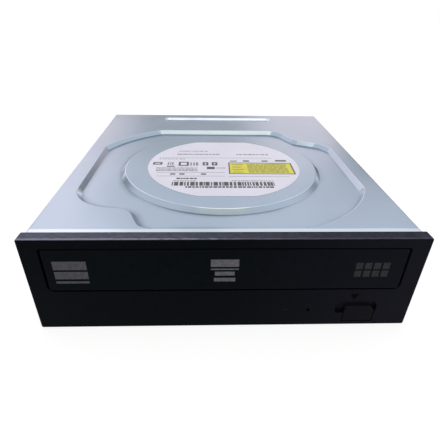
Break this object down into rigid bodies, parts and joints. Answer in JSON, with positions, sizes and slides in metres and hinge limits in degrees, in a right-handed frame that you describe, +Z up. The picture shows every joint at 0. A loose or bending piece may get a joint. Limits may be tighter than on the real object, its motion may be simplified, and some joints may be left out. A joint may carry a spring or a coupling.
{
  "type": "internal dvd drive",
  "caption": "Half-height internal optical disc drive with a pressed steel case, black front, sliding disc tray, eject button and rear data and power connector.",
  "frame": {"origin": "middle of the underside, at the height of the front bezel's lower edge", "axes": "+X to the right seen from the front, +Y from the front bezel to the rear connector, +Z up"},
  "size_m": [0.1482, 0.17, 0.042],
  "materials": {
    "zinc_steel": "zinc-coated pressed sheet, satin",
    "black_moulding": "fine-grained black ABS",
    "black_frame": "plain black moulding",
    "tray_grey": "semi-matte black moulding",
    "white_acetal": "natural acetal",
    "dark_acetal": "dark acetal",
    "label_paper": "white label stock, satin",
    "clear_plastic": "clear light pipe",
    "rubber": "soft black rubber",
    "plate_steel": "zinc-coated plate",
    "polished_steel": "ground and polished",
    "cast_alloy": "die-cast alloy",
    "board_green": "green lacquered glass-fibre board",
    "chip_black": "black moulded package",
    "magnet": "dark sintered ferrite",
    "glass_lens": "coated lens",
    "copper_coil": "enamelled windings on an iron core",
    "screw_steel": "black oxide screw"
  },
  "bodies": {
    "case": {"top_cover": "zinc_steel", "bottom_cover": "zinc_steel", "front_bezel": "black_moulding", "light_pipe": "clear_plastic", "label": "label_paper", "main_frame": "black_frame", "clamper_bridge": "plate_steel", "loading_motor": "plate_steel", "drive_belt": "rubber", "main_board": "board_green", "front_board": "board_green", "main_chip": "chip_black", "driver_chip": "chip_black", "memory_chip": "chip_black", "eject_switch": "chip_black", "lamp": "clear_plastic", "sata_connector": "chip_black", "cover_screw_1": "screw_steel", "cover_screw_2": "screw_steel", "cover_screw_3": "screw_steel", "cover_screw_4": "screw_steel"},
    "tray": {"disc_tray": "tray_grey", "tray_door": "black_moulding"},
    "button": {"eject_button": "black_moulding"},
    "cam": {"cam_slider": "white_acetal"},
    "traverse": {"lift_frame": "dark_acetal", "damper_1": "rubber", "damper_2": "rubber", "damper_3": "rubber", "damper_4": "rubber", "traverse_plate": "plate_steel", "main_rod": "polished_steel", "side_rod": "polished_steel", "rod_holder_1": "dark_acetal", "rod_holder_2": "dark_acetal", "rod_holder_3": "dark_acetal", "rod_holder_4": "dark_acetal", "sled_motor": "plate_steel", "screw_bearing": "dark_acetal", "spindle_base": "plate_steel", "spindle_stator": "copper_coil"},
    "turntable": {"turntable": "dark_acetal", "rotor_can": "plate_steel", "grip_ring": "rubber"},
    "sled": {"pickup_sled": "cast_alloy", "pickup_lid": "plate_steel", "lens_holder": "chip_black", "pickup_lens": "glass_lens"},
    "screw": {"lead_screw": "polished_steel"},
    "drive_gear": {"drive_gear": "white_acetal"},
    "pulley_gear": {"pulley_gear": "white_acetal"},
    "motor_pulley": {"motor_pulley": "white_acetal"},
    "clamper": {"clamper_disc": "white_acetal", "clamper_magnet": "magnet"}
  },
  "joints": [
    {"name": "tray_slide", "type": "slide", "parent": "case", "child": "tray", "axis": [0, -1, 0], "range_m": [0, 0.133]},
    {"name": "eject_press", "type": "slide", "parent": "case", "child": "button", "axis": [0, 1, 0], "range_m": [0, 0.0008], "stiffness_N_per_m": 900, "springref_m": -0.0004},
    {"name": "traverse_lift", "type": "hinge", "parent": "case", "child": "traverse", "pos_m": [0, 0.065, 0.016], "axis": [-1, 0, 0], "range_deg": [0, 5.02]},
    {"name": "cam_shift", "type": "slide", "parent": "case", "child": "cam", "axis": [1, 0, 0], "range_m": [0, 0.02001]},
    {"name": "turntable_spin", "type": "hinge", "parent": "traverse", "child": "turntable", "pos_m": [0, -0.01522, 0.01498], "axis": [0, -0.0875, 0.9962], "continuous": true},
    {"name": "sled_slide", "type": "slide", "parent": "traverse", "child": "sled", "axis": [0, 0.9962, 0.0875], "range_m": [0, 0.034]},
    {"name": "screw_spin", "type": "hinge", "parent": "traverse", "child": "screw", "pos_m": [0.033, -0.00038, 0.01748], "axis": [0, 0.9962, 0.0875], "continuous": true},
    {"name": "drive_gear_spin", "type": "hinge", "parent": "case", "child": "drive_gear", "pos_m": [-0.048, -0.066, 0.0235], "axis": [0, 0, 1], "continuous": true},
    {"name": "pulley_gear_spin", "type": "hinge", "parent": "case", "child": "pulley_gear", "pos_m": [-0.0324, -0.066, 0.0205], "axis": [0, 0, 1], "continuous": true},
    {"name": "motor_pulley_spin", "type": "hinge", "parent": "case", "child": "motor_pulley", "pos_m": [-0.008, -0.0698, 0.0195], "axis": [0, 0, 1], "continuous": true},
    {"name": "clamper_spin", "type": "hinge", "parent": "case", "child": "clamper", "pos_m": [0, -0.015, 0.0365], "axis": [0, 0, 1], "continuous": true}
  ],
  "couplings": [
    {"joint": "cam_shift", "follows": "traverse_lift", "m_per_rad": 0.22828},
    {"joint": "screw_spin", "follows": "sled_slide", "rad_per_m": 2094.4},
    {"joint": "drive_gear_spin", "follows": "tray_slide", "rad_per_m": 125},
    {"joint": "pulley_gear_spin", "follows": "tray_slide", "rad_per_m": -281.25},
    {"joint": "motor_pulley_spin", "follows": "tray_slide", "rad_per_m": -1047.2}
  ]
}
